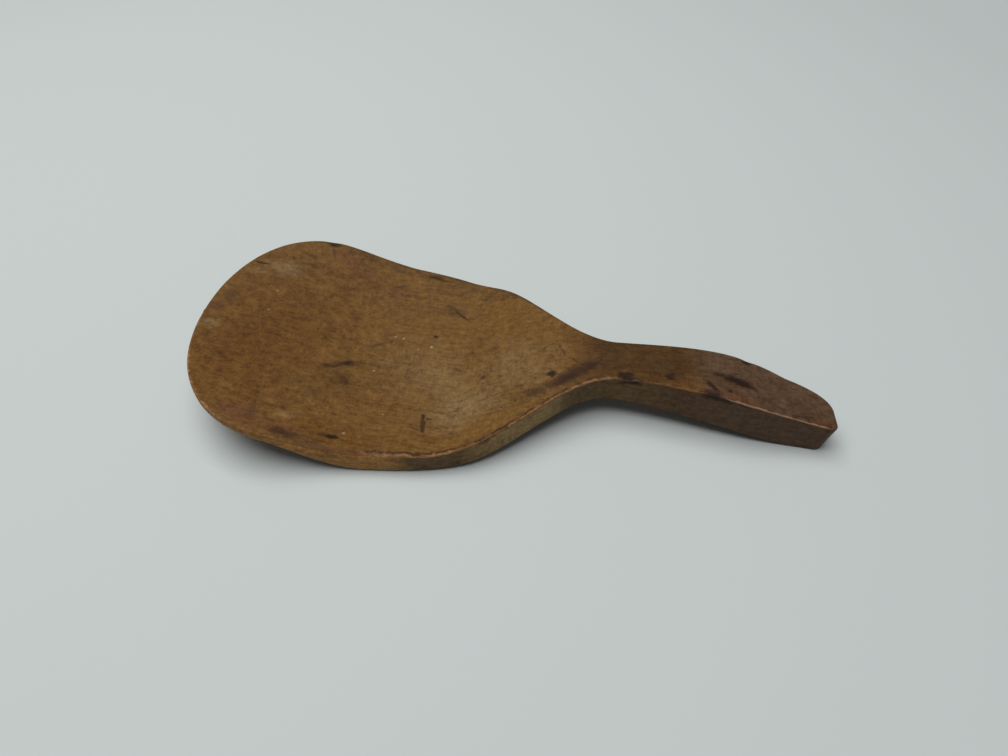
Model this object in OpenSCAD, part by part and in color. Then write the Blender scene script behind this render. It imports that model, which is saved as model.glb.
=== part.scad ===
// Butter spoon: a broad shallow blade and a short arched handle, cut from one piece of wood.
// X runs from the blade's tip to the handle's end, Y is across and Z is up from the table.
// The origin is at the middle of the spoon's length and width, on the table.
// All sizes are in millimetres, and places along the spoon are measured from the blade's tip.

/* [Plan outline] */
// Length of the spoon, tip to end
spoon_len = 225; // [215:1:260]
// Length of the round front of the blade
nose_len = 39; // [34:1:50]
// How square the round front is: 2 is an ellipse, and more is fuller at the corners
nose_fullness = 2.1; // [1.9:0.05:2.8]
// Greatest width of the blade
blade_w = 96; // [94:0.5:110]
// Place half way along the blade's long sides
side_at = 65; // [54:0.5:80]
// Width of the blade there
side_w = 92.6; // [84:0.2:93.6]
// Place where the sides turn in to the shoulders
shoulder_at = 103; // [94:0.5:116]
// Width of the blade there
shoulder_w = 77.4; // [60:0.2:82]
// Place where the handle is narrowest
neck_at = 149.5; // [138:0.5:158]
// Width of the handle there
neck_w = 17.6; // [14:0.2:20]
// Place where the handle is widest
grip_at = 190; // [175:0.5:195]
// Width of the handle there
grip_w = 21; // [20:0.2:26]
// Width that the handle tapers to at its end, before its corners are rounded
end_w = 14; // [12.8:0.2:17]
// Length of the well worn corner of the end, on the +Y side
worn_corner_len = 17; // [3:0.5:20]
// How far that corner comes in
worn_corner_in = 8.4; // [1:0.1:8.6]
// Length of the corner on the other side
plain_corner_len = 2; // [1:0.1:10]
// How far that corner comes in
plain_corner_in = 2.5; // [1:0.1:6]
// How far the hand-cut handle swings towards -Y at its end
handle_sweep = 6.4; // [0:0.5:12]

/* [Side profile] */
// Height of the tip's underside over the table
tip_lift = 16.8; // [9:0.2:22]
// Place on the rising front of the underside
front_at = 36; // [28:0.5:44]
// Height of the underside there
front_lift = 7.6; // [4:0.2:8.8]
// Place where the flat of the belly starts
belly_at = 70; // [60:0.5:76]
// Length of the belly that lies level
belly_len = 20; // [14:0.5:30]
// Place where the underside is highest
arch_at = 147; // [125:0.5:160]
// Height of the underside there
arch_h = 8.6; // [6:0.2:14]
// Place on the underside of the handle where it comes down to the heel
fall_at = 185; // [170:0.5:198]
// Height of the underside there
fall_h = 5.2; // [2:0.2:5.8]
// Length of the level heel at the handle's end
heel_len = 6; // [3:0.5:12]
// How far the sawn end leans from upright, in degrees
end_lean = 9; // [0:1:32]

/* [Thickness on the centreline] */
// Thickness at the tip
tip_t = 3.4; // [2.4:0.1:5]
// Thickness at the belly
belly_t = 5; // [3.6:0.1:8]
// Place on the shoulders where the wood has thickened towards the handle
thickening_at = 112; // [104:0.5:124]
// Thickness there
shoulder_t = 8.8; // [6.6:0.1:11]
// Thickness at the neck
neck_t = 11.2; // [8:0.1:13]
// Thickness at the widest part of the handle
grip_t = 15.2; // [10:0.1:16]
// Thickness where the heel starts
heel_t = 13.4; // [8:0.1:14]
// Thickness at the very end
end_t = 12.2; // [7:0.1:13]

/* [Hollow and camber of the blade] */
// How much the rim stands over the middle at the front of the blade
dish_front = 5.5; // [2:0.1:9]
// How much the rim stands over the middle at the belly
dish_belly = 5.2; // [2:0.1:8]
// How much the underside rises to the rim at the front of the blade
camber_front = 6.6; // [3:0.1:8]
// How much the underside rises to the rim at the belly
camber_belly = 1; // [0.8:0.1:3]

/* [Edges and wear] */
// Radius of the arris round the upper face
upper_edge_r = 0.9; // [0.3:0.05:1.6]
// Radius of the arris round the underside
lower_edge_r = 1.2; // [0.3:0.05:2.2]
// Depth of wood worn flat where the belly and the heel rest on the table
rest_wear = 0.3; // [0.1:0.05:0.5]

/* [Mesh] */
// Steps round each half of the nose
nose_steps = 14; // [8:1:20]
// Steps along each side
side_steps = 46; // [30:1:60]
// Steps round each corner of the end
corner_steps = 6; // [3:1:8]
// Steps from the middle of a face to its edge
face_steps = 5; // [3:1:7]
// Steps round each arris
arris_steps = 3; // [2:1:4]

/* [Hidden] */
wood = [0.42, 0.30, 0.18];

// The level belly ends here
belly_end = belly_at + belly_len;
// The heel lies level from here to the end
heel_at = spoon_len - heel_len;
// The faces close on a narrow loop that is this share of the way out to the edge
core_share = 0.1;
// Part of the handle's length over which the end's lean fades in
lean_fade = 34;
// An arris takes no more than this share of the thickness
arris_share = 0.4;
// The cutting block under the table is larger than the spoon by this much
table_margin = 20;
table_depth = 5;

// Plan outline: half widths along the spoon, behind the nose
width_knots = [
    [0, blade_w / 2],
    [nose_len, blade_w / 2],
    [side_at, side_w / 2],
    [shoulder_at, shoulder_w / 2],
    [neck_at, neck_w / 2],
    [grip_at, grip_w / 2],
    [spoon_len, end_w / 2],
];
// Side profile: height of the underside on the centreline
under_knots = [
    [0, tip_lift],
    [front_at, front_lift],
    [belly_at, 0],
    [belly_end, 0],
    [arch_at, arch_h],
    [fall_at, fall_h],
    [heel_at, 0],
    [spoon_len, 0],
];
thick_knots = [
    [0, tip_t],
    [belly_at, belly_t],
    [belly_end, belly_t],
    [thickening_at, shoulder_t],
    [neck_at, neck_t],
    [grip_at, grip_t],
    [heel_at, heel_t],
    [spoon_len, end_t],
];
dish_knots = [
    [0, dish_front],
    [front_at, dish_front],
    [belly_end, dish_belly],
    [neck_at, 0],
    [spoon_len, 0],
];
camber_knots = [
    [0, camber_front],
    [front_at, camber_front],
    [belly_at, camber_belly],
    [belly_end, camber_belly],
    [neck_at, 0],
    [spoon_len, 0],
];

// A smooth curve through knots [place, value] that never swings past them
function rise(k, i) = (k[i + 1][1] - k[i][1]) / (k[i + 1][0] - k[i][0]);
function inner_slope(k, i) =
    let (
        before = k[i][0] - k[i - 1][0],
        after = k[i + 1][0] - k[i][0],
        mean = (after * rise(k, i - 1) + before * rise(k, i)) / (before + after),
        most = 3 * min(abs(rise(k, i - 1)), abs(rise(k, i)))
    )
    rise(k, i - 1) * rise(k, i) <= 0 ? 0 : sign(mean) * min(abs(mean), most);
function slope(k, i) =
    i == 0 ? rise(k, 0)
    : i == len(k) - 1 ? rise(k, i - 1)
    : inner_slope(k, i);
function span(k, x, i = 0) = i >= len(k) - 2 || x < k[i + 1][0] ? i : span(k, x, i + 1);
function curve(k, x) =
    let (
        i = span(k, x),
        step = k[i + 1][0] - k[i][0],
        u = (x - k[i][0]) / step,
        v = 1 - u
    )
    (1 + 2 * u) * v * v * k[i][1] + u * v * v * step * slope(k, i)
    + u * u * (3 - 2 * u) * k[i + 1][1] - u * u * v * step * slope(k, i + 1);
function ease(u) = let (t = min(1, max(0, u))) t * t * (3 - 2 * t);

// Half width of the outline, first round the nose and then along the sides
function nose_half(x) = blade_w / 2 * pow(1 - pow(1 - x / nose_len, nose_fullness), 1 / nose_fullness);
function half_width(x) = x < nose_len ? nose_half(max(0, x)) : curve(width_knots, x);
function centreline(x) = -handle_sweep * pow(max(0, x - neck_at) / (spoon_len - neck_at), 2);

// Heights of the two faces over a place x, and y from the centreline
function across(y) = pow(y / (blade_w / 2), 2);
function bottom_z(x, y) = curve(under_knots, x) + curve(camber_knots, x) * across(y);
function top_z(x, y) = curve(under_knots, x) + curve(thick_knots, x) + curve(dish_knots, x) * across(y);

// One side of the outline from just behind the tip to the end: side is 1 or -1
function side_points(side) =
    let (
        corner_len = side > 0 ? worn_corner_len : plain_corner_len,
        corner_in = side > 0 ? worn_corner_in : plain_corner_in,
        corner_at = spoon_len - corner_len,
        straight = corner_at - nose_len,
        corner_half = half_width(corner_at)
    )
    concat(
        [for (i = [1:nose_steps]) let (x = nose_len * (1 - cos(90 * i / nose_steps))) [x, side * half_width(x)]],
        [for (i = [1:side_steps]) let (x = nose_len + straight * i / side_steps) [x, side * half_width(x)]],
        [for (i = [1:corner_steps]) let (a = 90 * i / corner_steps)
            [corner_at + corner_len * sin(a), side * (corner_half - corner_in * (1 - cos(a)))]]
    );
function backwards(list) = [for (i = [len(list) - 1:-1:0]) list[i]];

outline = concat([[0, 0]], side_points(1), backwards(side_points(-1)));
pairs = (len(outline) - 1) / 2;
loop_len = len(outline);

// Outward normal of the outline at point i
function outward(i) =
    let (
        a = outline[(i + loop_len - 1) % loop_len],
        b = outline[(i + 1) % loop_len],
        d = b - a
    )
    [-d[1], d[0]] / norm(d);
function inset(i, by) = outline[i] - by * outward(i);

// A place part of the way from the blade's centreline to the edge
function core(p) = [min(max(p[0], nose_len), spoon_len - end_w / 2), 0];
function inward(p, share) = core(p) + share * (p - core(p));

// The arrises shrink where the wood is thin
function thickness(x) = curve(thick_knots, x);
function arris_r(i, r) = min(r, arris_share * thickness(outline[i][0]));

// A plan place and a height become a point: below the upper arris, the end draws back as it leans
function placed(p, z) =
    let (
        lean = tan(end_lean) * ease((p[0] - spoon_len + lean_fade) / lean_fade),
        depth = max(0, top_z(p[0], p[1]) - upper_edge_r - z)
    )
    [
        p[0] - lean * depth - spoon_len / 2,
        p[1] + centreline(p[0]),
        z - rest_wear
    ];

// Loops of points: across the upper face, round both arrises and back under the blade
function face_share(k) = core_share + (1 - core_share) * k / face_steps;
function upper_face(k) = [for (i = [0:loop_len - 1])
    let (p = inward(inset(i, arris_r(i, upper_edge_r)), face_share(k)))
    placed(p, top_z(p[0], p[1]))];
function upper_arris(k) = [for (i = [0:loop_len - 1])
    let (
        r = arris_r(i, upper_edge_r),
        a = 90 * k / arris_steps,
        p = inset(i, r * (1 - sin(a)))
    )
    placed(p, top_z(p[0], p[1]) - r * (1 - cos(a)))];
function lower_arris(k) = [for (i = [0:loop_len - 1])
    let (
        r = arris_r(i, lower_edge_r),
        a = 90 * k / arris_steps,
        p = inset(i, r * (1 - cos(a)))
    )
    placed(p, bottom_z(p[0], p[1]) + r * (1 - sin(a)))];
function lower_face(k) = [for (i = [0:loop_len - 1])
    let (p = inward(inset(i, arris_r(i, lower_edge_r)), face_share(k)))
    placed(p, bottom_z(p[0], p[1]))];

loops = concat(
    [for (k = [0:face_steps]) upper_face(k)],
    [for (k = [1:arris_steps]) upper_arris(k)],
    [for (k = [0:arris_steps]) lower_arris(k)],
    [for (k = [face_steps - 1:-1:0]) lower_face(k)]
);
body_points = [for (l = loops) for (p = l) p];

// Triangles between neighbouring loops, and the two narrow caps on the centreline
function band(k) = [for (i = [0:loop_len - 1])
    let (
        j = (i + 1) % loop_len,
        a = k * loop_len,
        b = a + loop_len
    )
    each [[a + i, a + j, b + j], [a + i, b + j, b + i]]];
function cap(first, up) = [for (j = [0:pairs - 1])
    let (
        f0 = first + j,
        f1 = f0 + 1,
        n0 = first + (loop_len - j) % loop_len,
        n1 = first + loop_len - j - 1,
        tris = j == 0 ? [[f0, n1, f1]] : [[f0, n0, n1], [f0, n1, f1]]
    )
    each [for (t = tris) up ? t : [t[2], t[1], t[0]]]];
body_faces = concat(
    cap(0, true),
    [for (k = [0:len(loops) - 2]) each band(k)],
    cap((len(loops) - 1) * loop_len, false)
);

module carved_blank() {
    polyhedron(points = body_points, faces = body_faces, convexity = 6);
}

module table_block() {
    translate([-spoon_len / 2 - table_margin, -blade_w / 2 - table_margin, -table_depth])
        cube([spoon_len + 2 * table_margin, blade_w + 2 * table_margin, table_depth]);
}

module spoon() {
    color(wood)
        difference() {
            carved_blank();
            table_block();
        }
}

spoon();
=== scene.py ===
"""The looks of an old carved butter spoon: one piece of worn hardwood, lying on a pale floor.

Shape sizes are in millimetres and are the same as the part's own. Meshes are made in metres, in the part's
frame: X from the blade's tip to the handle's end, Y across, Z up, with the origin on the table.
"""

import logging
import math
from dataclasses import dataclass, field
from enum import Enum

import bpy
import numpy as np
from mathutils import Matrix, Vector

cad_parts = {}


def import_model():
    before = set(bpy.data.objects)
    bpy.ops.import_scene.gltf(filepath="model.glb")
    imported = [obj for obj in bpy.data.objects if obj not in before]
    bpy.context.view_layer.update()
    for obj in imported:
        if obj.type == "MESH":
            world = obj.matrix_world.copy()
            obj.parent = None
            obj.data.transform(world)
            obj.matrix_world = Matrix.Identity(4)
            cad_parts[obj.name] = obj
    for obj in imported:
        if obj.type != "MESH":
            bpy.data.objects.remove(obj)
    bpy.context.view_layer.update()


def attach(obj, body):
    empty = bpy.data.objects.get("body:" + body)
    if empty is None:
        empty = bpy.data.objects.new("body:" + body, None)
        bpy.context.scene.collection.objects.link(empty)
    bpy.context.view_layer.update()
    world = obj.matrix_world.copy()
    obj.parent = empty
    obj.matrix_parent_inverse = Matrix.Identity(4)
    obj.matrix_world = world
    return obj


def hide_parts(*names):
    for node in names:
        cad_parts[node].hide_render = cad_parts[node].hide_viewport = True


log = logging.getLogger("butter_spoon")

MM = 0.001
SPOON_NODE = "spoon"
UPPER_ARC = "from_upper_arris"
LOWER_ARC = "from_lower_arris"
FACE_SHARE = "upper_face"
BACKDROP = (188, 194, 193)
# The reddish wood along the near rim, and the dark line along the rims: painted shade of a groove inside the
# near arris, a plain darker line by the far one
RUDDY_RIM = (104, 66, 40)
DARK_RIM_LINE = (42, 29, 20)
# Most of a noise's values lie between these
NOISE_FROM = 0.3
NOISE_TO = 0.7


def ease(u: np.ndarray) -> np.ndarray:
    """Smooth step from 0 to 1, held level outside.

    Args:
        u: Values that run from 0 to 1 over the step.

    Returns:
        The eased values.
    """
    t = np.clip(u, 0.0, 1.0)
    return t * t * (3.0 - 2.0 * t)


def shown_colour(red: int, green: int, blue: int) -> tuple[float, float, float, float]:
    """A colour given as it shows on screen, as linear light.

    Args:
        red: Red, 0 to 255.
        green: Green, 0 to 255.
        blue: Blue, 0 to 255.

    Returns:
        Linear red, green, blue and alpha.
    """
    def linear(value: int) -> float:
        """One channel, from screen value to linear light."""
        part = value / 255.0
        return part / 12.92 if part <= 0.04045 else ((part + 0.055) / 1.055) ** 2.4

    return (linear(red), linear(green), linear(blue), 1.0)


class SmoothCurve:
    """A smooth curve through knots of place and value that never swings past them."""

    def __init__(self, knots: list[tuple[float, float]]) -> None:
        """Keeps the knots and works out the slope at each.

        Args:
            knots: Pairs of place and value, places rising.
        """
        self.places = np.array([knot[0] for knot in knots], float)
        self.values = np.array([knot[1] for knot in knots], float)
        self.slopes = self._slopes()

    def _slopes(self) -> np.ndarray:
        """The slope at each knot: the mean of its neighbours, level at a peak, and limited.

        Returns:
            One slope for each knot.
        """
        steps = np.diff(self.places)
        rises = np.diff(self.values) / steps
        slopes = np.concatenate([rises[:1], np.zeros(len(rises) - 1), rises[-1:]])
        for i in range(1, len(rises)):
            before, after = rises[i - 1], rises[i]
            if before * after > 0:
                mean = (steps[i] * before + steps[i - 1] * after) / (steps[i - 1] + steps[i])
                most = 3 * min(abs(before), abs(after))
                slopes[i] = math.copysign(min(abs(mean), most), mean)
        return slopes

    def __call__(self, place: np.ndarray) -> np.ndarray:
        """The curve's value at each place.

        Args:
            place: Places along the curve.

        Returns:
            The values there.
        """
        x = np.asarray(place, float)
        i = np.clip(np.searchsorted(self.places, x, side="right") - 1, 0, len(self.places) - 2)
        step = self.places[i + 1] - self.places[i]
        u = (x - self.places[i]) / step
        v = 1.0 - u
        return ((1 + 2 * u) * v * v * self.values[i] + u * v * v * step * self.slopes[i]
                + u * u * (3 - 2 * u) * self.values[i + 1] - u * u * v * step * self.slopes[i + 1])


@dataclass(frozen=True)
class PlanSizes:
    """The outline seen from above, in millimetres from the blade's tip.

    The near corner of the end is a little rounder here than in the part's own sizes, as wear has left it.
    """

    length: float = 225.0
    nose_len: float = 39.0
    nose_fullness: float = 2.1
    blade_w: float = 96.0
    side_at: float = 65.0
    side_w: float = 92.6
    shoulder_at: float = 103.0
    shoulder_w: float = 77.4
    neck_at: float = 149.5
    neck_w: float = 17.6
    grip_at: float = 190.0
    grip_w: float = 21.0
    end_w: float = 14.0
    worn_corner_len: float = 17.0
    worn_corner_in: float = 8.4
    plain_corner_len: float = 4.2
    plain_corner_in: float = 3.4
    handle_sweep: float = 6.4


@dataclass(frozen=True)
class ProfileSizes:
    """The side profile, the thicknesses and the hollow, in millimetres."""

    tip_lift: float = 16.8
    front_at: float = 36.0
    front_lift: float = 7.6
    belly_at: float = 70.0
    belly_end: float = 90.0
    arch_at: float = 147.0
    arch_h: float = 8.6
    fall_at: float = 185.0
    fall_h: float = 5.2
    heel_len: float = 6.0
    end_lean: float = 9.0
    lean_fade: float = 34.0
    tip_t: float = 3.4
    belly_t: float = 5.0
    thickening_at: float = 112.0
    shoulder_t: float = 8.8
    neck_t: float = 11.2
    grip_t: float = 15.2
    heel_t: float = 13.4
    end_t: float = 12.2
    dish_front: float = 5.5
    dish_belly: float = 5.2
    camber_front: float = 6.6
    camber_belly: float = 1.0
    rest_wear: float = 0.3


class Side(Enum):
    """The two long sides of the spoon."""

    FAR = 1
    NEAR = -1


@dataclass(frozen=True)
class WornStretch:
    """A stretch of the upper arris that use has rounded more than the rest.

    Args:
        side: The long side that it is on.
        start: Where it starts, in millimetres from the tip.
        end: Where it ends.
        radius: The arris's radius there.
        fade: The length over which it fades in and out.
    """

    side: Side
    start: float
    end: float
    radius: float
    fade: float

    def share(self, x: np.ndarray, side: np.ndarray) -> np.ndarray:
        """How much of this stretch's rounding each outline point has, from 0 to 1."""
        rise = ease((x - self.start) / self.fade + 0.5)
        fall = ease((self.end - x) / self.fade + 0.5)
        return rise * fall * (side == self.side.value)


@dataclass(frozen=True)
class Gouge:
    """A dent, nick or cut in the wood, pressed in from the surface.

    Args:
        x: Its middle along the spoon, in millimetres in the part's frame.
        y: Its middle across the spoon.
        turn: The direction of its long axis, in degrees from +X.
        half_len: Half its length.
        half_wid: Half its width.
        depth: How deep it is in the middle.
        upper: True on the upper face and rim, False on the underside.
    """

    x: float
    y: float
    turn: float
    half_len: float
    half_wid: float
    depth: float
    upper: bool = True

    def press(self, points: np.ndarray) -> np.ndarray:
        """The depth that this gouge takes away at each point.

        Args:
            points: Points in millimetres, one row each.

        Returns:
            One depth for each point.
        """
        angle = math.radians(self.turn)
        dx = points[:, 0] - self.x
        dy = points[:, 1] - self.y
        along = (dx * math.cos(angle) + dy * math.sin(angle)) / self.half_len
        across = (dy * math.cos(angle) - dx * math.sin(angle)) / self.half_wid
        return self.depth * np.exp(-1.4 * (along ** 2 + across ** 2))


class SpoonForm:
    """The spoon's form as rules: its outline, its two faces and its centreline."""

    def __init__(self, plan: PlanSizes, profile: ProfileSizes) -> None:
        """Draws the curves that the rules read.

        Args:
            plan: The outline's sizes.
            profile: The side profile's sizes.
        """
        self.plan = plan
        self.profile = profile
        heel_at = plan.length - profile.heel_len
        self.width = SmoothCurve([
            (0, plan.blade_w / 2), (plan.nose_len, plan.blade_w / 2), (plan.side_at, plan.side_w / 2),
            (plan.shoulder_at, plan.shoulder_w / 2), (plan.neck_at, plan.neck_w / 2),
            (plan.grip_at, plan.grip_w / 2), (plan.length, plan.end_w / 2)])
        self.under = SmoothCurve([
            (0, profile.tip_lift), (profile.front_at, profile.front_lift), (profile.belly_at, 0),
            (profile.belly_end, 0), (profile.arch_at, profile.arch_h), (profile.fall_at, profile.fall_h),
            (heel_at, 0), (plan.length, 0)])
        self.thickness = SmoothCurve([
            (0, profile.tip_t), (profile.belly_at, profile.belly_t), (profile.belly_end, profile.belly_t),
            (profile.thickening_at, profile.shoulder_t), (plan.neck_at, profile.neck_t),
            (plan.grip_at, profile.grip_t), (heel_at, profile.heel_t), (plan.length, profile.end_t)])
        self.dish = SmoothCurve([
            (0, profile.dish_front), (profile.front_at, profile.dish_front),
            (profile.belly_end, profile.dish_belly), (plan.neck_at, 0), (plan.length, 0)])
        self.camber = SmoothCurve([
            (0, profile.camber_front), (profile.front_at, profile.camber_front),
            (profile.belly_at, profile.camber_belly), (profile.belly_end, profile.camber_belly),
            (plan.neck_at, 0), (plan.length, 0)])

    def half_width(self, x: np.ndarray) -> np.ndarray:
        """Half the outline's width at each place along the spoon."""
        plan = self.plan
        inner = np.clip(1 - np.asarray(x, float) / plan.nose_len, 0.0, 1.0)
        nose = plan.blade_w / 2 * (1 - inner ** plan.nose_fullness) ** (1 / plan.nose_fullness)
        return np.where(np.asarray(x) < plan.nose_len, nose, self.width(x))

    def centreline(self, x: np.ndarray) -> np.ndarray:
        """How far the centreline has swung at each place along the spoon."""
        plan = self.plan
        swing = np.maximum(0.0, x - plan.neck_at) / (plan.length - plan.neck_at)
        return -plan.handle_sweep * swing ** 2

    def _across(self, y: np.ndarray) -> np.ndarray:
        """The square of a place's share of the half width of the blade."""
        return (y / (self.plan.blade_w / 2)) ** 2

    def bottom_z(self, x: np.ndarray, y: np.ndarray) -> np.ndarray:
        """Height of the underside over each place, before the rest flats are worn."""
        return self.under(x) + self.camber(x) * self._across(y)

    def top_z(self, x: np.ndarray, y: np.ndarray) -> np.ndarray:
        """Height of the upper face over each place."""
        return self.under(x) + self.thickness(x) + self.dish(x) * self._across(y)


@dataclass
class CarvedSpoon:
    """The whole spoon: blade, shoulders, neck and handle, carved from one piece of wood.

    Args:
        name: The object's name.
        plan: The outline's sizes.
        profile: The side profile's sizes.
        nose_steps: Outline points round one half of the nose.
        side_steps: Outline points along one side.
        corner_steps: Outline points round one corner of the end.
        upper_steps: Loops over the upper face.
        lower_steps: Loops over the underside.
        arris_steps: Loops round each arris.
        wall_steps: Loops down the wall.
        core_share: How far from the centreline the innermost loop is, as a share of the way to the edge.
        corner_fullness: How full the worn far corner of the end is; 2 is an ellipse.
        upper_arris_r: The upper arris's radius where it isn't worn, in millimetres.
        lower_arris_r: The lower arris's radius.
        lean_arris: How far below the upper face the end starts to lean.
        most_rounded: The upper arris's largest radius, as a share of the rim's height.
        most_rounded_under: The lower arris's largest radius, as a share of the thickness.
        face_gouges_to: How far down the wall the upper gouges reach.
        under_gouges_from: How far down the wall the lower gouges start.
        gouge_fade: The length over which either fades.
        worn: The stretches of the upper arris that are more rounded.
        gouges: The dents, nicks and cuts.
    """

    name: str = "carved_spoon"
    plan: PlanSizes = field(default_factory=PlanSizes)
    profile: ProfileSizes = field(default_factory=ProfileSizes)
    nose_steps: int = 92
    side_steps: int = 232
    corner_steps: int = 14
    upper_steps: int = 52
    lower_steps: int = 42
    arris_steps: int = 6
    wall_steps: int = 10
    core_share: float = 0.03
    corner_fullness: float = 2.4
    upper_arris_r: float = 0.75
    lower_arris_r: float = 0.6
    lean_arris: float = 0.9
    most_rounded: float = 0.5
    most_rounded_under: float = 0.4
    face_gouges_to: float = 3.0
    under_gouges_from: float = 6.0
    gouge_fade: float = 2.0
    worn: tuple[WornStretch, ...] = (
        WornStretch(Side.NEAR, 26.0, 84.0, 3.2, 24.0),
        WornStretch(Side.NEAR, -20.0, 14.0, 1.1, 8.0),
        WornStretch(Side.FAR, -20.0, 60.0, 1.0, 12.0),
        WornStretch(Side.FAR, 205.0, 240.0, 1.5, 10.0),
    )
    gouges: tuple[Gouge, ...] = (
        Gouge(-26.0, -28.2, -79, 4.0, 1.0, 0.35),
        Gouge(-24.4, -25.4, -6, 1.8, 0.8, 0.25),
        Gouge(-22.7, 25.8, -37, 6.0, 0.8, 0.25),
        Gouge(-61.0, -7.6, 30, 4.6, 1.4, 0.22),
        Gouge(-53.3, -40.0, 5, 3.2, 1.5, 0.30),
        Gouge(-68.0, -43.6, 2, 6.0, 1.8, 0.25),
        Gouge(-101.8, 28.9, 5, 2.6, 1.1, 0.45),
        Gouge(81.8, 6.9, -3, 2.4, 1.4, 0.50),
        Gouge(41.2, -7.6, -25, 3.0, 2.0, 0.35),
        Gouge(55.0, -5.4, 0, 1.4, 1.4, 0.30),
        Gouge(15.3, -7.0, 8, 1.5, 1.2, 0.30),
        Gouge(77.0, -2.5, -9, 7.5, 1.3, 0.30),
        Gouge(69.6, -11.7, -10, 4.4, 1.7, 0.45),
        Gouge(-78.0, 46.4, -8, 3.4, 1.5, 0.35),
        Gouge(-36.0, 42.4, -10, 6.0, 1.2, 0.30),
        Gouge(98.0, -12.9, -6, 3.0, 0.9, 0.20),
        Gouge(-3.3, -34.6, 15, 3.0, 1.1, 0.35),
        Gouge(-30.0, -45.2, 6, 2.6, 1.0, 0.30),
        Gouge(23.0, -1.0, -33, 4.6, 0.9, 0.20),
        Gouge(-70.0, 14.0, 30, 9.0, 2.0, 0.20, False),
        Gouge(-8.0, -18.0, -20, 6.0, 1.2, 0.25, False),
        Gouge(60.0, 3.0, 5, 4.0, 1.6, 0.30, False),
    )

    def __post_init__(self) -> None:
        """Works out the form from the sizes."""
        self.form = SpoonForm(self.plan, self.profile)

    def _side_points(self, side: Side) -> np.ndarray:
        """One side of the outline, from just behind the tip to the middle of the end.

        Args:
            side: Which side.

        Returns:
            Rows of x and y, y from the centreline.
        """
        plan = self.plan
        is_far = side is Side.FAR
        corner_len = plan.worn_corner_len if is_far else plan.plain_corner_len
        corner_in = plan.worn_corner_in if is_far else plan.plain_corner_in
        corner_at = plan.length - corner_len
        nose_x = plan.nose_len * (1 - np.cos(np.linspace(0, math.pi / 2, self.nose_steps + 1)[1:]))
        side_x = np.linspace(plan.nose_len, corner_at, self.side_steps + 1)[1:]
        turn = np.linspace(0, math.pi / 2, self.corner_steps + 1)[1:]
        fullness = 2 / self.corner_fullness if is_far else 1.0
        straight_x = np.concatenate([nose_x, side_x])
        corner_half = float(self.form.half_width(corner_at))
        x = np.concatenate([straight_x, corner_at + corner_len * np.sin(turn) ** fullness])
        corner = corner_half - corner_in * (1 - np.clip(np.cos(turn), 0.0, 1.0) ** fullness)
        half = np.concatenate([self.form.half_width(straight_x), corner])
        return np.stack([x, side.value * half], axis=1)

    def _outline(self) -> tuple[np.ndarray, np.ndarray]:
        """The whole outline, once round from the tip, and the side that each point is on."""
        far = self._side_points(Side.FAR)
        near = self._side_points(Side.NEAR)[::-1]
        points = np.concatenate([[[0.0, 0.0]], far, near])
        side = np.concatenate([[0], np.full(len(far), Side.FAR.value), np.full(len(near), Side.NEAR.value)])
        return points, side

    def _placed(self, plan_points: np.ndarray, z: np.ndarray) -> np.ndarray:
        """Plan places and heights as points: low points draw back where the end leans.

        Args:
            plan_points: Rows of x and y, y from the centreline.
            z: Heights.

        Returns:
            Points in millimetres in the part's frame.
        """
        x, y = plan_points[:, 0], plan_points[:, 1]
        fade = self.profile.lean_fade
        lean = math.tan(math.radians(self.profile.end_lean)) * ease((x - self.plan.length + fade) / fade)
        depth = np.maximum(0.0, self.form.top_z(x, y) - self.lean_arris - z)
        return np.stack([
            x - lean * depth - self.plan.length / 2,
            y + self.form.centreline(x),
            z - self.profile.rest_wear], axis=1)

    def _upper_radius(self, outline: np.ndarray, side: np.ndarray) -> np.ndarray:
        """The upper arris's radius at each outline point, limited by the rim's height."""
        x, y = outline[:, 0], outline[:, 1]
        radius = np.full(len(x), self.upper_arris_r)
        for stretch in self.worn:
            radius = radius + (stretch.radius - radius) * stretch.share(x, side)
        rim_height = self.form.top_z(x, y) - self.form.bottom_z(x, y)
        return np.minimum(radius, self.most_rounded * rim_height)

    def _loops(self) -> tuple[list[np.ndarray], list[np.ndarray], list[np.ndarray], list[np.ndarray]]:
        """Closed loops of points from the middle of the upper face, over the rim, to the middle below.

        Returns:
            The loops, the distances from the upper and from the lower arris, and the upper-face share.
        """
        outline, side = self._outline()
        ahead = np.roll(outline, -1, axis=0) - np.roll(outline, 1, axis=0)
        outward = np.stack([-ahead[:, 1], ahead[:, 0]], axis=1) / np.linalg.norm(ahead, axis=1)[:, None]
        outward[0] = (-1.0, 0.0)
        upper_r = self._upper_radius(outline, side)
        most_lower_r = self.most_rounded_under * self.form.thickness(outline[:, 0])
        lower_r = np.minimum(self.lower_arris_r, most_lower_r)
        core = np.stack([
            np.clip(outline[:, 0], self.plan.nose_len, self.plan.length - self.plan.end_w / 2),
            np.zeros(len(outline))], axis=1)
        quarter = math.pi / 4
        loops, from_upper, from_lower, face = [], [], [], []

        def keep(points: np.ndarray, upper: np.ndarray, lower: np.ndarray, share: float) -> None:
            """Adds one loop and what the wood's material reads on it."""
            loops.append(points)
            from_upper.append(upper)
            from_lower.append(lower)
            face.append(np.full(len(points), share))

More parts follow.
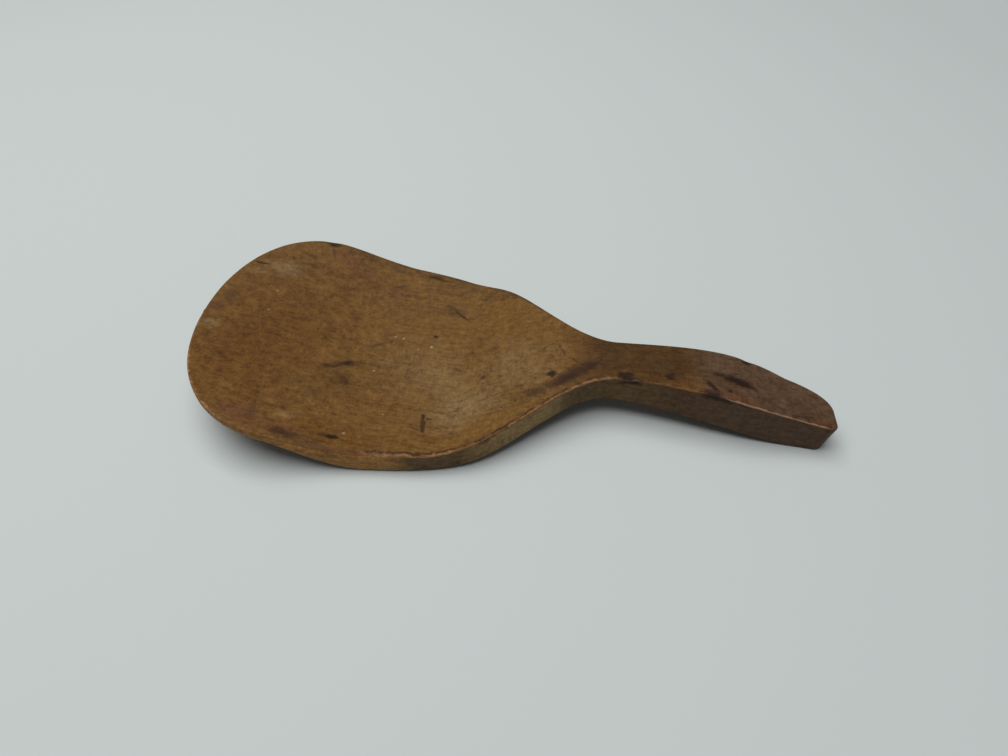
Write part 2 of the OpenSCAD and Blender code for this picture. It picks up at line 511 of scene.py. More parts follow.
        x, y = outline[:, 0], outline[:, 1]
        wall = self.form.top_z(x, y) - upper_r - self.form.bottom_z(x, y) - lower_r
        rim_to_rim = upper_r * quarter + wall + lower_r * quarter
        upper_edge = outline - outward * upper_r[:, None]
        for k in range(self.upper_steps + 1):
            share = self.core_share + (1 - self.core_share) * k / self.upper_steps
            p = core + share * (upper_edge - core)
            inside = np.linalg.norm(upper_edge - p, axis=1) + upper_r * quarter
            keep(self._placed(p, self.form.top_z(p[:, 0], p[:, 1])), -inside, -inside - rim_to_rim, 1.0)
        for k in range(1, self.arris_steps + 1):
            a = math.pi / 2 * k / self.arris_steps
            p = outline - outward * (upper_r * (1 - math.sin(a)))[:, None]
            z = self.form.top_z(p[:, 0], p[:, 1]) - upper_r * (1 - math.cos(a))
            arc = upper_r * (a - quarter)
            keep(self._placed(p, z), arc, arc - rim_to_rim, 1.0 - k / self.arris_steps)
        for k in range(1, self.wall_steps):
            z = self.form.top_z(x, y) - upper_r - wall * k / self.wall_steps
            down = upper_r * quarter + wall * k / self.wall_steps
            keep(self._placed(outline, z), down, down - rim_to_rim, 0.0)
        for k in range(self.arris_steps + 1):
            a = math.pi / 2 * k / self.arris_steps
            p = outline - outward * (lower_r * (1 - math.cos(a)))[:, None]
            z = self.form.bottom_z(p[:, 0], p[:, 1]) + lower_r * (1 - math.sin(a))
            arc = lower_r * (a - quarter)
            keep(self._placed(p, z), arc + rim_to_rim, arc, 0.0)
        lower_edge = outline - outward * lower_r[:, None]
        for k in range(self.lower_steps - 1, -1, -1):
            share = self.core_share + (1 - self.core_share) * k / self.lower_steps
            p = core + share * (lower_edge - core)
            inside = np.linalg.norm(lower_edge - p, axis=1) + lower_r * quarter
            keep(self._placed(p, self.form.bottom_z(p[:, 0], p[:, 1])), inside + rim_to_rim, inside, 0.0)
        return loops, from_upper, from_lower, face

    @staticmethod
    def _faces(loop_count: int, loop_len: int) -> list[tuple[int, ...]]:
        """Faces between neighbouring loops, and the two narrow caps on the centreline.

        Args:
            loop_count: How many loops there are.
            loop_len: How many points each has.

        Returns:
            Faces as point numbers, all pointing outwards.
        """
        faces = []
        for k in range(loop_count - 1):
            a, b = k * loop_len, (k + 1) * loop_len
            for i in range(loop_len):
                j = (i + 1) % loop_len
                faces.append((a + i, a + j, b + j, b + i))
        last = (loop_count - 1) * loop_len
        for first, upward in ((0, True), (last, False)):
            for j in range((loop_len - 1) // 2):
                far = (first + j, first + j + 1)
                near = (first + (loop_len - j) % loop_len, first + loop_len - j - 1)
                loop = (far[0], far[1], near[1]) if j == 0 else (far[0], far[1], near[1], near[0])
                faces.append(loop[::-1] if upward else loop)
        return faces

    def _press_gouges(self, points: np.ndarray, normals: np.ndarray, upper_arc: np.ndarray) -> np.ndarray:
        """Presses the dents and nicks into the surface.

        Args:
            points: Points in millimetres.
            normals: Outward normals.
            upper_arc: Each point's distance from the upper arris.

        Returns:
            The pressed points.
        """
        on_top = ease((self.face_gouges_to - upper_arc) / self.gouge_fade)
        on_under = ease((upper_arc - self.under_gouges_from) / self.gouge_fade)
        depth = np.zeros(len(points))
        for gouge in self.gouges:
            depth += gouge.press(points) * (on_top if gouge.upper else on_under)
        return points - normals * depth[:, None]

    def build(self, surface: "HandWorkedSurface", finish: "OldWood") -> bpy.types.Object:
        """Makes the spoon's mesh, works its surface and dresses it.

        Args:
            surface: The rule that gives the surface its tool marks and wear.
            finish: The wood's material.

        Returns:
            The finished object, at the origin.
        """
        loops, from_upper, from_lower, face = self._loops()
        points = np.concatenate(loops)
        mesh = bpy.data.meshes.new(self.name)
        mesh.from_pydata((points * MM).tolist(), [], self._faces(len(loops), len(loops[0])))
        mesh.validate()
        normals = np.zeros(len(points) * 3)
        mesh.vertices.foreach_get("normal", normals)
        pressed = self._press_gouges(points, normals.reshape(-1, 3), np.concatenate(from_upper))
        pressed[:, 2] = np.maximum(0.0, pressed[:, 2])
        mesh.vertices.foreach_set("co", (pressed * MM).ravel())
        for name, rows in ((UPPER_ARC, from_upper), (LOWER_ARC, from_lower), (FACE_SHARE, face)):
            layer = mesh.attributes.new(name, "FLOAT", "POINT")
            layer.data.foreach_set("value", np.concatenate(rows).astype(np.float32))
        mesh.update()
        blank = bpy.data.objects.new(self.name + "_blank", mesh)
        bpy.context.scene.collection.objects.link(blank)
        spoon = surface.work(blank, self.name, finish.material())
        for polygon in spoon.data.polygons:
            polygon.use_smooth = True
        return spoon


@dataclass(frozen=True)
class Run:
    """A stretch along the spoon that fades in and out, in millimetres in the part's frame.

    Args:
        start: Where it has half faded in.
        end: Where it has half faded out.
        fade_in: Half the length over which it fades in.
        fade_out: Half the length over which it fades out.
    """

    start: float
    end: float
    fade_in: float
    fade_out: float


class NodeSketch:
    """Short calls that add nodes to a tree and link them."""

    def __init__(self, tree: bpy.types.NodeTree) -> None:
        """Keeps the tree that nodes are added to."""
        self.tree = tree

    def add(self, kind: str, inputs: dict | None = None, **settings: object) -> bpy.types.Node:
        """Adds one node.

        Args:
            kind: The node's type name.
            inputs: Socket names or numbers, with values or sockets to link.
            **settings: The node's own properties.

        Returns:
            The node.
        """
        node = self.tree.nodes.new(kind)
        for name, value in settings.items():
            setattr(node, name, value)
        for name, value in (inputs or {}).items():
            self.feed(node.inputs[name], value)
        return node

    def feed(self, socket: bpy.types.NodeSocket, value: object) -> None:
        """Links a socket to the input, or sets the input's own value."""
        if isinstance(value, bpy.types.NodeSocket):
            self.tree.links.new(value, socket)
        else:
            socket.default_value = value

    def math(self, operation: str, *values: object, clamp: bool = False) -> bpy.types.NodeSocket:
        """One Math node's result.

        Args:
            operation: The operation's name.
            *values: Numbers or sockets, in order.
            clamp: Whether the result is held between 0 and 1.

        Returns:
            The output socket.
        """
        kind = "ShaderNodeMath"
        node = self.add(kind, dict(enumerate(values)), operation=operation, use_clamp=clamp)
        return node.outputs[0]

    def vector(self, operation: str, *values: object) -> bpy.types.NodeSocket:
        """One Vector Math node's vector result, or its value where it has only that."""
        node = self.add("ShaderNodeVectorMath", operation=operation)
        for socket, value in zip([s for s in node.inputs if s.enabled], values):
            self.feed(socket, value)
        return next(s for s in node.outputs if s.enabled)

    def ramp(self, value: object, start: float, end: float, low: float = 0.0,
             high: float = 1.0, smooth: bool = True) -> bpy.types.NodeSocket:
        """A value mapped from one range to another and held inside it.

        Args:
            value: The number or socket to map.
            start: The value that gives low.
            end: The value that gives high.
            low: The result at start.
            high: The result at end.
            smooth: Whether the step is eased.

        Returns:
            The output socket.
        """
        kind = "SMOOTHSTEP" if smooth else "LINEAR"
        node = self.add("ShaderNodeMapRange", interpolation_type=kind, clamp=True)
        for name, number in zip(("Value", "From Min", "From Max", "To Min", "To Max"),
                                (value, start, end, low, high)):
            self.feed(node.inputs[name], number)
        return node.outputs[0]

    def swing(self, noise: object, low: float, high: float) -> bpy.types.NodeSocket:
        """A noise's usual values spread evenly from low to high."""
        return self.ramp(noise, NOISE_FROM, NOISE_TO, low, high, False)

    def inside(self, place: object, run: Run) -> bpy.types.NodeSocket:
        """1 inside a stretch and 0 outside it.

        Args:
            place: The place along the spoon.
            run: The stretch.

        Returns:
            The eased share.
        """
        return self.math("MULTIPLY", self.ramp(place, run.start - run.fade_in, run.start + run.fade_in),
                         self.ramp(place, run.end + run.fade_out, run.end - run.fade_out))

    def noise(self, place: object, scale: float, detail: float = 3.0, rough: float = 0.5,
              seed: float = 0.0) -> bpy.types.NodeSocket:
        """Noise from 0 to 1 over a place.

        Args:
            place: The vector socket it is read at.
            scale: Its scale.
            detail: How many octaves it has.
            rough: How strong the finer octaves are.
            seed: Which noise it is.

        Returns:
            The noise's value.
        """
        node = self.add("ShaderNodeTexNoise", noise_dimensions="4D")
        for name, value in (("Vector", place), ("W", seed), ("Scale", scale),
                            ("Detail", detail), ("Roughness", rough)):
            self.feed(node.inputs[name], value)
        return node.outputs[0]

    def stretch(self, place: object, x: float, y: float, z: float) -> bpy.types.NodeSocket:
        """A place with each axis multiplied by its own number."""
        return self.vector("MULTIPLY", place, (x, y, z))


@dataclass(frozen=True)
class HandWorkedSurface:
    """Geometry nodes that give carved wood its tool marks, soft wear and small dents.

    Args:
        ripple_depth: Depth of the tool ripples on the upper face, in metres.
        under_depth: Depth of the tool ripples on the underside and walls.
        ripple_len: Length of a ripple along the spoon.
        ripple_wid: Width of a ripple across it.
        dent_depth: Depth of the small chance dents.
        dent_gap: Spacing of the places where a dent may be.
        seed: Which pattern it is.
    """

    ripple_depth: float = 0.00012
    under_depth: float = 0.00030
    ripple_len: float = 0.026
    ripple_wid: float = 0.009
    dent_depth: float = 0.00028
    dent_gap: float = 0.0085
    seed: float = 7.0

    def _inputs(self) -> dict[str, float]:
        """The tree's named number inputs and their values."""
        return {
            "Ripple Depth": self.ripple_depth, "Under Depth": self.under_depth,
            "Ripple Length": self.ripple_len, "Ripple Width": self.ripple_wid,
            "Dent Depth": self.dent_depth, "Dent Gap": self.dent_gap, "Seed": self.seed}

    def tree(self) -> bpy.types.NodeTree:
        """Builds the node tree.

        Returns:
            The tree: geometry in, worked geometry out.
        """
        tree = bpy.data.node_groups.new("hand_worked_surface", "GeometryNodeTree")
        tree.interface.new_socket("Geometry", in_out="INPUT", socket_type="NodeSocketGeometry")
        for name in self._inputs():
            tree.interface.new_socket(name, in_out="INPUT", socket_type="NodeSocketFloat")
        tree.interface.new_socket("Finish", in_out="INPUT", socket_type="NodeSocketMaterial")
        tree.interface.new_socket("Geometry", in_out="OUTPUT", socket_type="NodeSocketGeometry")
        sketch = NodeSketch(tree)
        given = sketch.add("NodeGroupInput").outputs
        place = sketch.add("GeometryNodeInputPosition").outputs[0]
        normal = sketch.add("GeometryNodeInputNormal").outputs[0]
        face = sketch.add("GeometryNodeInputNamedAttribute", {"Name": FACE_SHARE},
                          data_type="FLOAT").outputs[0]

        size = sketch.add("ShaderNodeCombineXYZ", {0: given["Ripple Length"], 1: given["Ripple Width"],
                                                   2: given["Ripple Width"]}).outputs[0]
        ripple = sketch.noise(sketch.vector("DIVIDE", place, size), 1.0, 2.0, 0.45, given["Seed"])
        ripple_depth = sketch.math("MULTIPLY_ADD", face, sketch.math(
            "SUBTRACT", given["Ripple Depth"], given["Under Depth"]), given["Under Depth"])
        rippled = sketch.math("MULTIPLY", ripple, ripple_depth)

        cells = sketch.add("ShaderNodeTexVoronoi", {
            "Vector": sketch.vector("SCALE", place, sketch.math("DIVIDE", 1.0, given["Dent Gap"])),
            "W": given["Seed"], "Scale": 1.0}, voronoi_dimensions="4D", feature="F1")
        chance = sketch.ramp(sketch.add("ShaderNodeSeparateXYZ", {0: cells.outputs["Color"]}).outputs[0],
                             0.72, 0.95)
        hollow = sketch.ramp(cells.outputs["Distance"], 0.30, 0.0)
        dented = sketch.math("MULTIPLY", sketch.math("MULTIPLY", hollow, chance), given["Dent Depth"])

        depth = sketch.math("ADD", rippled, dented)
        pressed = sketch.add("GeometryNodeSetPosition", {
            "Geometry": given["Geometry"],
            "Offset": sketch.vector("SCALE", normal, sketch.math("MULTIPLY", depth, -1.0))}).outputs[0]
        xyz = sketch.add("ShaderNodeSeparateXYZ", {0: place}).outputs
        on_table = sketch.add("ShaderNodeCombineXYZ", {0: xyz[0], 1: xyz[1],
                                                       2: sketch.math("MAXIMUM", xyz[2], 0.0)}).outputs[0]
        resting = sketch.add("GeometryNodeSetPosition", {
            "Geometry": pressed, "Position": on_table}).outputs[0]
        real = sketch.add("GeometryNodeRealizeInstances", {"Geometry": resting}).outputs[0]
        dressed = sketch.add("GeometryNodeSetMaterial", {
            "Geometry": real, "Material": given["Finish"]}).outputs[0]
        out = sketch.add("NodeGroupOutput")
        tree.links.new(dressed, out.inputs["Geometry"])
        return tree

    def work(self, blank: bpy.types.Object, name: str, finish: bpy.types.Material) -> bpy.types.Object:
        """Runs the tree on a blank and keeps the result as a plain mesh.

        Args:
            blank: The carved blank, which is removed.
            name: The finished object's name.
            finish: The material that the tree sets.

        Returns:
            The finished object.
        """
        modifier = blank.modifiers.new("hand_worked", "NODES")
        tree = self.tree()
        values = self._inputs() | {"Finish": finish}
        modifier.node_group = tree
        for item in tree.interface.items_tree:
            if item.item_type == "SOCKET" and item.in_out == "INPUT" and item.name in values:
                modifier[item.identifier] = values[item.name]
        view_layer = bpy.context.view_layer
        view_layer.update()
        worked = blank.evaluated_get(bpy.context.evaluated_depsgraph_get())
        mesh = bpy.data.meshes.new_from_object(worked, preserve_all_data_layers=True,
                                               depsgraph=bpy.context.evaluated_depsgraph_get())
        mesh.name = name
        blank.modifiers.remove(modifier)
        raw = blank.data
        bpy.data.objects.remove(blank)
        bpy.data.meshes.remove(raw)
        piece = bpy.data.objects.new(name, mesh)
        bpy.context.scene.collection.objects.link(piece)
        return piece


class Tint(Enum):
    """The colours that marks on the wood take, as they show, from the first laid on to the last."""

    WARM = (97, 64, 24)
    PALE = (126, 102, 67)
    RUDDY = (100, 64, 40)
    SHADE = (74, 55, 32)
    BROWN = (57, 37, 23)
    BLACK = (36, 21, 12)
    CHALK = (190, 170, 132)

    @property
    def is_broad(self) -> bool:
        """Whether its marks are wide and soft, under the grain."""
        return self in (Tint.WARM, Tint.PALE, Tint.RUDDY, Tint.SHADE)

    @property
    def is_stain(self) -> bool:
        """Whether its marks have sunk into the wood and dulled it."""
        return self in (Tint.BROWN, Tint.BLACK)


@dataclass(frozen=True)
class Mark:
    """A stain, stroke or spot on the upper face.

    Args:
        x: Its middle along the spoon, in millimetres in the part's frame.
        y: Its middle across the spoon.
        turn: The direction of its long axis, in degrees from +X.
        half_len: Half its length.
        half_wid: Half its width.
        strength: How strong it is, from 0 to 1.
        soft: How much of its radius fades out, from 0 to 1.
    """

    x: float
    y: float
    turn: float
    half_len: float
    half_wid: float
    strength: float
    soft: float = 0.6


MARKS: dict[Tint, tuple[Mark, ...]] = {
    Tint.WARM: (
        # Warmer wood: the front of the blade, a patch by the near rim, and the neck before the gripped part
        Mark(-90, -5, 70, 46, 32, 0.95, 1.0),
        Mark(-52, -40, -5, 32, 9, 0.6, 1.0),
        Mark(-53.5, -44, 12, 4.5, 2, 0.8, 0.9),
        Mark(61, -8.5, -5, 9, 4.0, 0.65, 0.8),
        Mark(42, -6.5, -3, 14, 3.5, 0.3, 0.9),
    ),
    Tint.PALE: (
        # Paler wood
        Mark(-92.5, 29.5, -3, 8.5, 4.5, 0.75, 0.9),
        Mark(-101, 25.5, 31, 6.5, 2, 0.5, 0.9),
        Mark(-107.5, -4.5, 60, 4, 3, 0.6, 0.9),
        Mark(-70, -37, 20, 4.5, 1.8, 0.5, 0.9),
        Mark(-12, -18, 26, 20, 13, 0.75, 1.0),
        Mark(-24, -6, -14, 30, 18, 0.45, 1.0),
        Mark(2, -2, -20, 20, 16, 0.5, 1.0),
    ),
    Tint.RUDDY: (
        # Reddish wood: on the handle, by both rims of the blade, at the tip and at the end's corner
        Mark(77.5, -10.2, -2, 9, 3, 0.6, 0.9),
        Mark(-82, -40.5, -10, 11, 6.5, 0.85, 0.9),
        Mark(-69, -43.5, -4, 10, 3, 0.7, 0.9),
        Mark(-67, 39.5, -6, 13, 6, 0.55, 0.9),
        Mark(-53, 32, -4, 9, 4.5, 0.45, 0.9),
        Mark(-110, 4, 42, 2.5, 3.5, 0.6, 0.9),
        Mark(107.5, -13, -8, 5, 3, 0.6, 0.9),
    ),
    Tint.SHADE: (
        # Grey-brown shading
        Mark(-105, 10, 17, 4, 5.5, 0.55, 0.9),
        Mark(-99.5, 27, 21, 3, 1.6, 0.5, 0.9),
        Mark(-79.5, -38.5, 15, 4, 3.2, 0.55, 0.8),
        Mark(-74, -33.5, 12, 10, 1.8, 0.3, 0.9),
        Mark(-26, 27, -37, 7, 3, 0.5, 0.9),
        Mark(-62, -46, -4, 12, 1.5, 0.7, 0.8),
        Mark(-58, 44.5, -4, 20, 2.2, 0.6, 0.9),
        Mark(-16, 37, -17, 18, 2, 0.55, 0.9),
        Mark(-67.5, -21, -46, 9, 4.5, 0.30, 0.9),
        Mark(-57.5, -14, -32, 8, 4.5, 0.45, 0.9),
        Mark(51.5, 0, 7, 6, 4, 0.5, 0.9),
        Mark(34, 1, 20, 9, 7, 0.45, 1.0),
    ),
    Tint.BROWN: (
        # The long smudge where the blade runs into the neck, with two creases behind it
        Mark(22, -7.8, 38, 11.5, 3.8, 1.0, 0.7),
        Mark(11.5, -14.5, 24, 10.5, 3.2, 0.75, 0.9),
        Mark(16.5, -11.4, 34, 8.0, 3.4, 0.8, 0.8),
        Mark(27.5, -3.2, 42, 4.0, 2.6, 0.95, 0.7),
        Mark(18, 4, -64, 4, 0.6, 0.5, 0.8),
        Mark(23, -1, -33, 4.5, 0.7, 0.65, 0.8),
        Mark(35.5, -4, 6, 4.5, 0.8, 0.4, 0.8),
        Mark(72, -4.5, -20, 8, 5, 0.35, 1.0),
        # The streak in the middle of the blade and its faint tail
        Mark(-59.5, -6.5, 30, 4.2, 1.6, 0.95, 0.7),
        Mark(-63.2, -8.9, 24, 4.4, 1.5, 0.85, 0.8),
        Mark(-51, -4, 3, 7, 0.8, 0.5, 0.9),
        Mark(-50.5, 6, 33, 5.2, 1, 0.5, 0.9),
        # Fine lines along the grain at the front
        Mark(-84.5, -2.5, -6, 7, 0.5, 0.6, 0.9),
        Mark(-91, 3.2, 0, 9, 0.5, 0.4, 0.9),
        Mark(-74.5, -3.6, -10, 5, 0.5, 0.45, 0.9),
        # Strokes and spots by the far rim
        Mark(-49.5, 35.3, 21, 3.2, 1.2, 0.7, 0.8),
        Mark(-77.5, 43, -61, 2.8, 0.8, 0.6, 0.8),
        Mark(-85.5, 38.3, -3, 4.6, 1, 0.5, 0.9),
        Mark(-83.5, 34, -3, 4.6, 1.1, 0.5, 0.9),
        Mark(-22.7, 25.8, -37, 5.8, 0.65, 0.85, 0.7),
        Mark(-26.6, 28.7, -11, 3.4, 0.5, 0.6, 0.8),
        Mark(-14.7, 33.6, -16, 2.6, 0.8, 0.55, 0.8),
        # Marks by the near rim, and small spots
        Mark(-26, -28.2, -79, 4, 1, 0.9, 0.5),
        Mark(-29.3, -30.4, -21, 3.6, 0.4, 0.55, 0.8),
        Mark(-55.5, -40.1, 7, 2.8, 1, 0.75, 0.8),
        Mark(-68, -43.6, 2, 7, 1.8, 0.8, 0.8),
        Mark(-32, -44.8, 4, 3, 0.9, 0.7, 0.8),
        Mark(-77, 10.9, 0, 1, 0.8, 0.6, 0.8),
        Mark(-8.8, -6, 0, 1.1, 1, 0.85, 0.7),
        Mark(4.5, -18.5, 0, 0.9, 0.8, 0.75, 0.7),
        Mark(0, -20.8, -27, 2.2, 0.7, 0.5, 0.8),
        Mark(1.7, 0.3, -8, 3, 0.8, 0.35, 0.9),
        Mark(40, 5.8, -4, 1.5, 0.7, 0.6, 0.8),
        Mark(58.3, 6.2, 0, 1.8, 0.8, 0.6, 0.8),
        Mark(64.2, 5, 5, 3, 0.8, 0.5, 0.8),
        Mark(109, -13.4, -12, 1.8, 1.6, 0.75, 0.7),
    ),
    Tint.BLACK: (
        # Burnt or inked spots on the neck
        Mark(15.3, -6.8, 8, 1.9, 1.4, 1.0, 0.5),
        Mark(15.6, -8.2, 34, 1, 0.6, 0.8, 0.6),
        Mark(28.5, -4.0, 42, 4.2, 1.7, 0.55, 0.9),
        Mark(20.5, -9.2, 36, 5.5, 1.3, 0.35, 0.9),
        Mark(40.2, -6.8, 10, 3.2, 2.3, 1.0, 0.5),
        Mark(42.8, -8.3, -5, 3.3, 1.7, 0.95, 0.6),
        Mark(55, -5.4, 8, 2.0, 2.0, 0.95, 0.7),
        # The lens, the arc, the dot and the stain over the arris on the handle
        Mark(78, -2.8, -11, 7.2, 2.1, 1.0, 0.6),
        Mark(72.7, -1.5, 2, 4.2, 1.2, 0.8, 0.7),
        Mark(69.1, -7.4, -48, 4.4, 1.3, 0.9, 0.8),
        Mark(69.2, -11.2, -8, 4.6, 2.3, 1.0, 0.6),
        Mark(73, -12.0, -8, 3.6, 1.3, 0.9, 0.7),
        Mark(75.2, -8.2, 4, 1.1, 0.9, 0.9, 0.6),
        Mark(81.8, 6.8, -3, 2.2, 1.1, 0.95, 0.6),
        # The short bar with its tick, and the spots by the near rim
        Mark(-24.4, -25.4, -6, 1.7, 0.55, 0.85, 0.6),
        Mark(-26.6, -24.6, -60, 1.2, 0.9, 0.85, 0.6),
        Mark(-25.2, -31.4, -60, 1.1, 0.7, 0.6, 0.7),
        Mark(-53.3, -40, 5, 2.3, 1.2, 1.0, 0.6),
        Mark(-3.3, -34.5, 15, 2.4, 1, 0.8, 0.7),
        # Spots in the middle and by the far rim
        Mark(-58.6, -5.8, 35, 1.8, 0.9, 0.7, 0.7),
        Mark(-30.3, 13.6, 9, 1.2, 1, 0.95, 0.6),
        Mark(-78, 46.3, -8, 3, 1.6, 0.9, 0.7),
        Mark(-36, 42.3, -10, 5.4, 1.4, 0.8, 0.8),
        Mark(-101.8, 28.9, 5, 2.8, 0.7, 0.9, 0.6),
        Mark(-46.4, 8.6, 35, 1.2, 0.7, 0.65, 0.7),
    ),
    Tint.CHALK: (
        # Tiny pale specks
        Mark(-45.4, 11.2, 0, 0.5, 0.45, 0.52, 0.6),
        Mark(-42.2, 11, 0, 0.5, 0.45, 0.45, 0.6),
        Mark(-31, 8.6, 0, 0.5, 0.5, 0.59, 0.6),
        Mark(-35.7, 6.7, 0, 0.45, 0.4, 0.39, 0.6),
        Mark(-49.1, -6.7, 16, 0.6, 0.4, 0.39, 0.6),
        Mark(-92.1, 8.2, 0, 0.5, 0.4, 0.39, 0.6),
        Mark(-91.9, 17.8, 0, 0.6, 0.4, 0.33, 0.6),
        Mark(-50.6, -37.4, 18, 0.7, 0.45, 0.45, 0.6),
        Mark(-40.4, -26, 0, 0.5, 0.4, 0.33, 0.6),
    ),
}


@dataclass(frozen=True)
class RubAndHighlight:
    """A stretch of the near upper arris that is paler: partly rubbed down to paler wood, partly a painted
    highlight where light catches the arris.

    Args:
        run: Where it is.
        strength: How pale it is, from 0 to 1.
    """

    run: Run
    strength: float


@dataclass(frozen=True)
class RimLine:
    """A dark or reddish line that runs along the rim in patches.

    Args:
        colour: Its colour.
        side: The side that it is on.
        run: Where it is along the spoon.
        inside: How far inside the arris it runs, in millimetres.
        half_wid: Half its width.
        core: Half the width of its fullest part.
        patch_scale: The scale of the noise that breaks it into patches.
        patch_from: The noise's value where a patch starts.
        patch_to: Its value where a patch is full.
        seed: Which noise it is.
        strength: How strongly it shows, from 0 to 1.
    """

    colour: tuple[int, int, int]
    side: Side
    run: Run
    inside: float
    half_wid: float
    core: float
    patch_scale: float
    patch_from: float
    patch_to: float
    seed: float
    strength: float


@dataclass(frozen=True)
class Grain:
    """One layer of noise in the wood's shade.

    Args:
        along: How many features there are in a millimetre along the spoon.
        across: How many there are across it.
        detail: How many octaves it has.
        rough: How strong the finer octaves are.
        amount: How far it lightens and darkens the wood.
        seed: Which noise it is.
    """

    along: float
    across: float
    detail: float
    rough: float
    amount: float
    seed: float


@dataclass(frozen=True)
class WoodPlaces:
    """What the wood's material reads at each point.

    Args:
        place: The point in the part's frame, in millimetres.
        x: Its place along the spoon.
        y: Its place across.
        z: Its height.
        rim: The distance from the upper arris, negative on the face and positive down the wall.
        sole: The distance from the lower arris, positive on the underside.
        face: 1 on the upper face and just over its arris, 0 elsewhere.
    """

    place: bpy.types.NodeSocket
    x: bpy.types.NodeSocket
    y: bpy.types.NodeSocket
    z: bpy.types.NodeSocket
    rim: bpy.types.NodeSocket
    sole: bpy.types.NodeSocket
    face: bpy.types.NodeSocket


@dataclass(frozen=True)
class Figure:
    """The wood's figure at each point.

    Args:
        cloud: The broadest noise.
        blotch: Noise a few millimetres wide.
        mottle: Noise about two millimetres wide.
        fibre: Long thin streaks along the spoon.
        fine: Short fine fibres.
        ring: 1 where a growth ring meets the surface.
        pore: 1 where there is a pore.
        shades: How much the figure darkens red, green and blue.
    """

    cloud: bpy.types.NodeSocket
    blotch: bpy.types.NodeSocket
    mottle: bpy.types.NodeSocket
    fibre: bpy.types.NodeSocket
    fine: bpy.types.NodeSocket
    ring: bpy.types.NodeSocket
    pore: bpy.types.NodeSocket
    shades: bpy.types.NodeSocket


